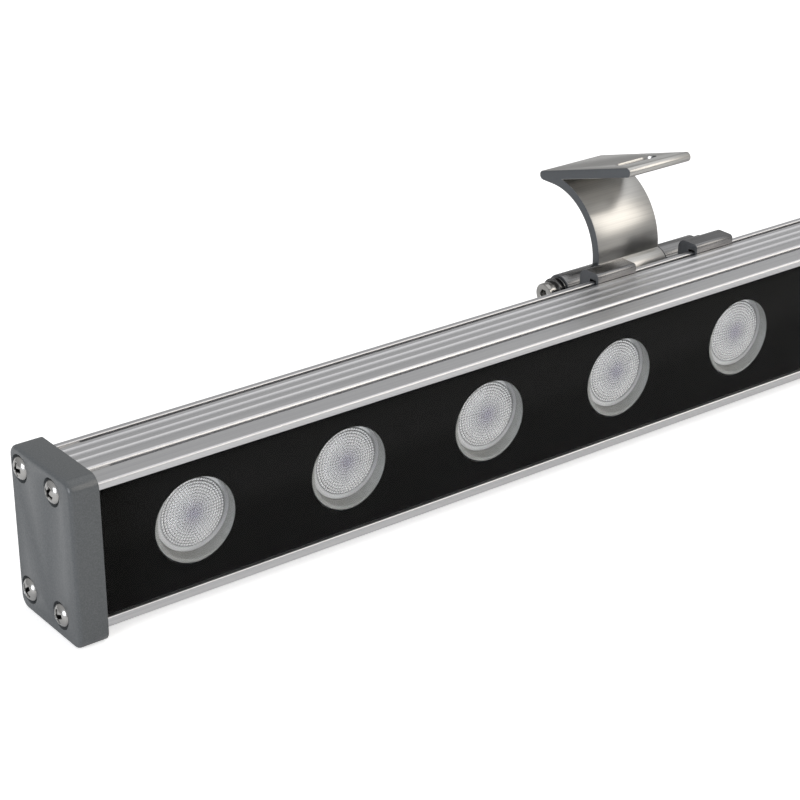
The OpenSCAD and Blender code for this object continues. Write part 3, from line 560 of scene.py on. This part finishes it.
# Cable gland. A moulded nylon gland: a hexagon flange against the cap, and a domed nut
# with grip ribs that squeezes the rubber insert on the cable. The nylon is dull black.
GLAND_EASING = 0.4  # millimetres
NUT_SIDES = 48
NUT_CORE = 0.93  # radius between the ribs over the radius on them
NUT_RIB_RISE = 0.05  # of the radius
NUT_RIB_PITCH = 4  # sides from rib to rib
NUT_RIB_WIDTH = 2  # sides on a rib
NUT_GRIP = 0.72  # of the length, below the dome
NUT_DOME = ((0.25, 0.45), (0.5, 0.6), (0.8, 0.55), (0.9, 0.35), (0.5, 0.05))
NUT_DOME_STEP = 0.14  # of the length, for a rise of one
NUT_MOUTH_RIM = 0.2  # millimetres
NUT_MOUTH_DEPTH = 0.5  # of the length
NUT_FLANK_TILT = 0.1  # a face whose normal points along Z less than this can be on a rib
NUT_FLANK_REACH = 0.9  # of the radius; faces nearer the axis are in the mouth
nylon_finish = plain_finish("black_moulded_nylon", "#232425", "#1C1D1E", 0.45, 0.6)
finish_edges("gland_body", nylon_finish, GLAND_EASING)
low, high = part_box("gland_nut")
middle = (low + high) / 2
nut_length = (high.x - low.x) / MM
nut_radius = (high.z - low.z) / 2 / MM


def on_a_rib(middle, normal):
    """Whether a face of the grip stands out as part of a rib."""
    if abs(normal.z) > NUT_FLANK_TILT or middle.xy.length < nut_radius * NUT_FLANK_REACH * MM:
        return False
    side = round(middle.xy.angle_signed(Vector((1, 0))) / (2 * pi / NUT_SIDES) - 0.5)
    return side % NUT_RIB_PITCH < NUT_RIB_WIDTH


bpy.ops.object.select_all(action="DESELECT")
bpy.ops.mesh.primitive_cylinder_add(vertices=NUT_SIDES, radius=nut_radius * NUT_CORE * MM,
                                    depth=nut_length * NUT_GRIP * MM,
                                    location=(0, 0, nut_length * NUT_GRIP / 2 * MM))
nut = bpy.context.object
bpy.ops.object.transform_apply(location=True, rotation=True, scale=True)
bpy.ops.object.mode_set(mode="EDIT")
pick_faces(nut, lambda middle, normal: normal.z > FACING)
for inset, rise in NUT_DOME:
    step_face(inset, rise * nut_length * NUT_DOME_STEP)
step_face(NUT_MOUTH_RIM, 0)
extrude_face(-nut_length * NUT_MOUTH_DEPTH)
pick_faces(nut, on_a_rib)
rib_rise = nut_radius * NUT_RIB_RISE * MM
bpy.ops.mesh.extrude_region_shrink_fatten(TRANSFORM_OT_shrink_fatten={"value": rib_rise})
bpy.ops.object.mode_set(mode="OBJECT")
bpy.ops.object.shade_smooth_by_angle(angle=radians(35))
nut_copy = place_copy(nut, (low.x, middle.y, middle.z), (0, pi / 2, 0))
bpy.data.objects.remove(nut)
join_as("gland_nut_ribbed", [nut_copy], nylon_finish, "lamp", "gland_nut")

# Brackets. The clamps and the arm are satin aluminium extrusions, sawn to length and
# tumbled, so the eased edges catch the light and the sawn faces are dull. A stainless
# screw with a lock nut pins the arm between the clamps. All sizes are in millimetres.
EXTRUSION_EASING = 0.18
HINGE_SCREW_EASING = 0.3
WASHER_EASING = 0.12
LOCK_NUT_EASING = 0.2
clamp_finish = extruded_aluminium("satin_clamp_extrusion", "#8A8A8B", "#7C7C7D", "#6B6D70",
                                  roughness=0.26, line_width=0.5)
arm_finish = extruded_aluminium("satin_arm_extrusion", "#C4C3C0", "#B9B8B6", "#717477",
                                roughness=0.3, line_width=0.5)
# The washers and set screws are of oiled spring steel, darker than the screw.
dark_steel_finish = plain_finish("dark_spring_steel", "#6A6A6A", "#5C5C5C", 0.25, 1.0, metallic=1.0)
for side in ("left", "right"):
    finish_edges(side + "_clamp_outer", clamp_finish, EXTRUSION_EASING)
    finish_edges(side + "_clamp_inner", clamp_finish, EXTRUSION_EASING)
    finish_edges(side + "_arm", arm_finish, EXTRUSION_EASING)
    finish_edges(side + "_hinge_screw", steel_finish, HINGE_SCREW_EASING)
    finish_edges(side + "_hinge_washers", dark_steel_finish, WASHER_EASING)
    finish_edges(side + "_spring_washer", dark_steel_finish, WASHER_EASING)
    finish_edges(side + "_hinge_nut", steel_finish, LOCK_NUT_EASING)
    coat_nodes(dark_steel_finish, side + "_set_screws")

# Floor. A plain pale sheet that the lamp lies on. The camera and the glass see it white,
# metal sees it as it is lit, and it keeps the shadow.
FLOOR_SIZE = 60  # metres
SEEN_GLOW = 0.6
MIRRORED_GLOW = 0.05
bpy.ops.object.select_all(action="DESELECT")
bpy.ops.mesh.primitive_plane_add(size=FLOOR_SIZE, location=(0, 0, 0))
floor = bpy.context.object
floor.name = "floor"
floor_finish = new_finish("pale_floor")
rays = add(floor_finish, "LightPath")
seen = add(floor_finish, "Math", {0: rays.outputs["Is Camera Ray"],
                                  1: rays.outputs["Is Transmission Ray"]}, operation="MAXIMUM")
lift = add(floor_finish, "Math", {0: seen.outputs[0], 1: SEEN_GLOW}, operation="MULTIPLY")
lift = add(floor_finish, "Math", {0: rays.outputs["Is Glossy Ray"], 1: MIRRORED_GLOW,
                                  2: lift.outputs[0]}, operation="MULTIPLY_ADD")
paper = add(floor_finish, "BsdfDiffuse", {"Color": tint("#F2F2F2")})
glow = add(floor_finish, "Emission", {"Color": tint("#FFFFFF"), "Strength": lift.outputs[0]})
sheet = add(floor_finish, "AddShader", {0: paper.outputs[0], 1: glow.outputs[0]})
show(floor_finish, sheet.outputs[0])
floor.data.materials.append(floor_finish)

# Lamps. Three square soft lamps. The front and the top one stand towards the right end, the
# way that the long faces mirror, and the left one lights the end cap.


def area_lamp(name, place, aim, size, power, colour):
    """A square soft lamp that points at a place on the object."""
    data = bpy.data.lights.new(name, "AREA")
    data.size = size
    data.energy = power
    data.color = tint(colour)[:3]
    lamp = bpy.data.objects.new(name, data)
    lamp.location = place
    lamp.rotation_euler = (Vector(aim) - Vector(place)).to_track_quat("-Z", "Y").to_euler()
    bpy.context.scene.collection.objects.link(lamp)


area_lamp("front_lamp", (0.8, -1.3, 1.05), aim=(-0.25, 0, 0.05), size=1.3, power=10, colour="#FFF8EE")
area_lamp("top_lamp", (0.6, 0.1, 1.7), aim=(-0.2, 0, 0), size=1.9, power=6.5, colour="#FFFFFF")
area_lamp("left_lamp", (-2.3, -0.7, 0.7), aim=(-0.4, 0, 0), size=1.0, power=18, colour="#F6F9FF")

# Room. A soft shell of light, darker towards the horizon, so that the long faces of the
# housing part in tone. The camera and the glass see it white.
SHELL_AT_HORIZON = 0.42  # strength
SHELL_OVERHEAD = 0.7  # strength
world = bpy.data.worlds.new("studio")
world.use_nodes = True
world.node_tree.nodes.clear()
height = add(world, "SeparateXYZ", {0: add(world, "TexCoord").outputs["Generated"]})
shell = add(world, "MapRange", {"Value": height.outputs["Z"], "To Min": SHELL_AT_HORIZON,
                                "To Max": SHELL_OVERHEAD})
rays = add(world, "LightPath")
seen = add(world, "Math", {0: rays.outputs["Is Camera Ray"], 1: rays.outputs["Is Transmission Ray"]},
           operation="MAXIMUM")
strength = add(world, "MapRange", {"Value": seen.outputs[0], "To Min": shell.outputs[0], "To Max": 1.0})
sky = add(world, "Background", {"Strength": strength.outputs[0]})
add(world, "OutputWorld", {"Surface": sky.outputs[0]})
bpy.context.scene.world = world
bpy.context.scene.view_settings.view_transform = "Standard"
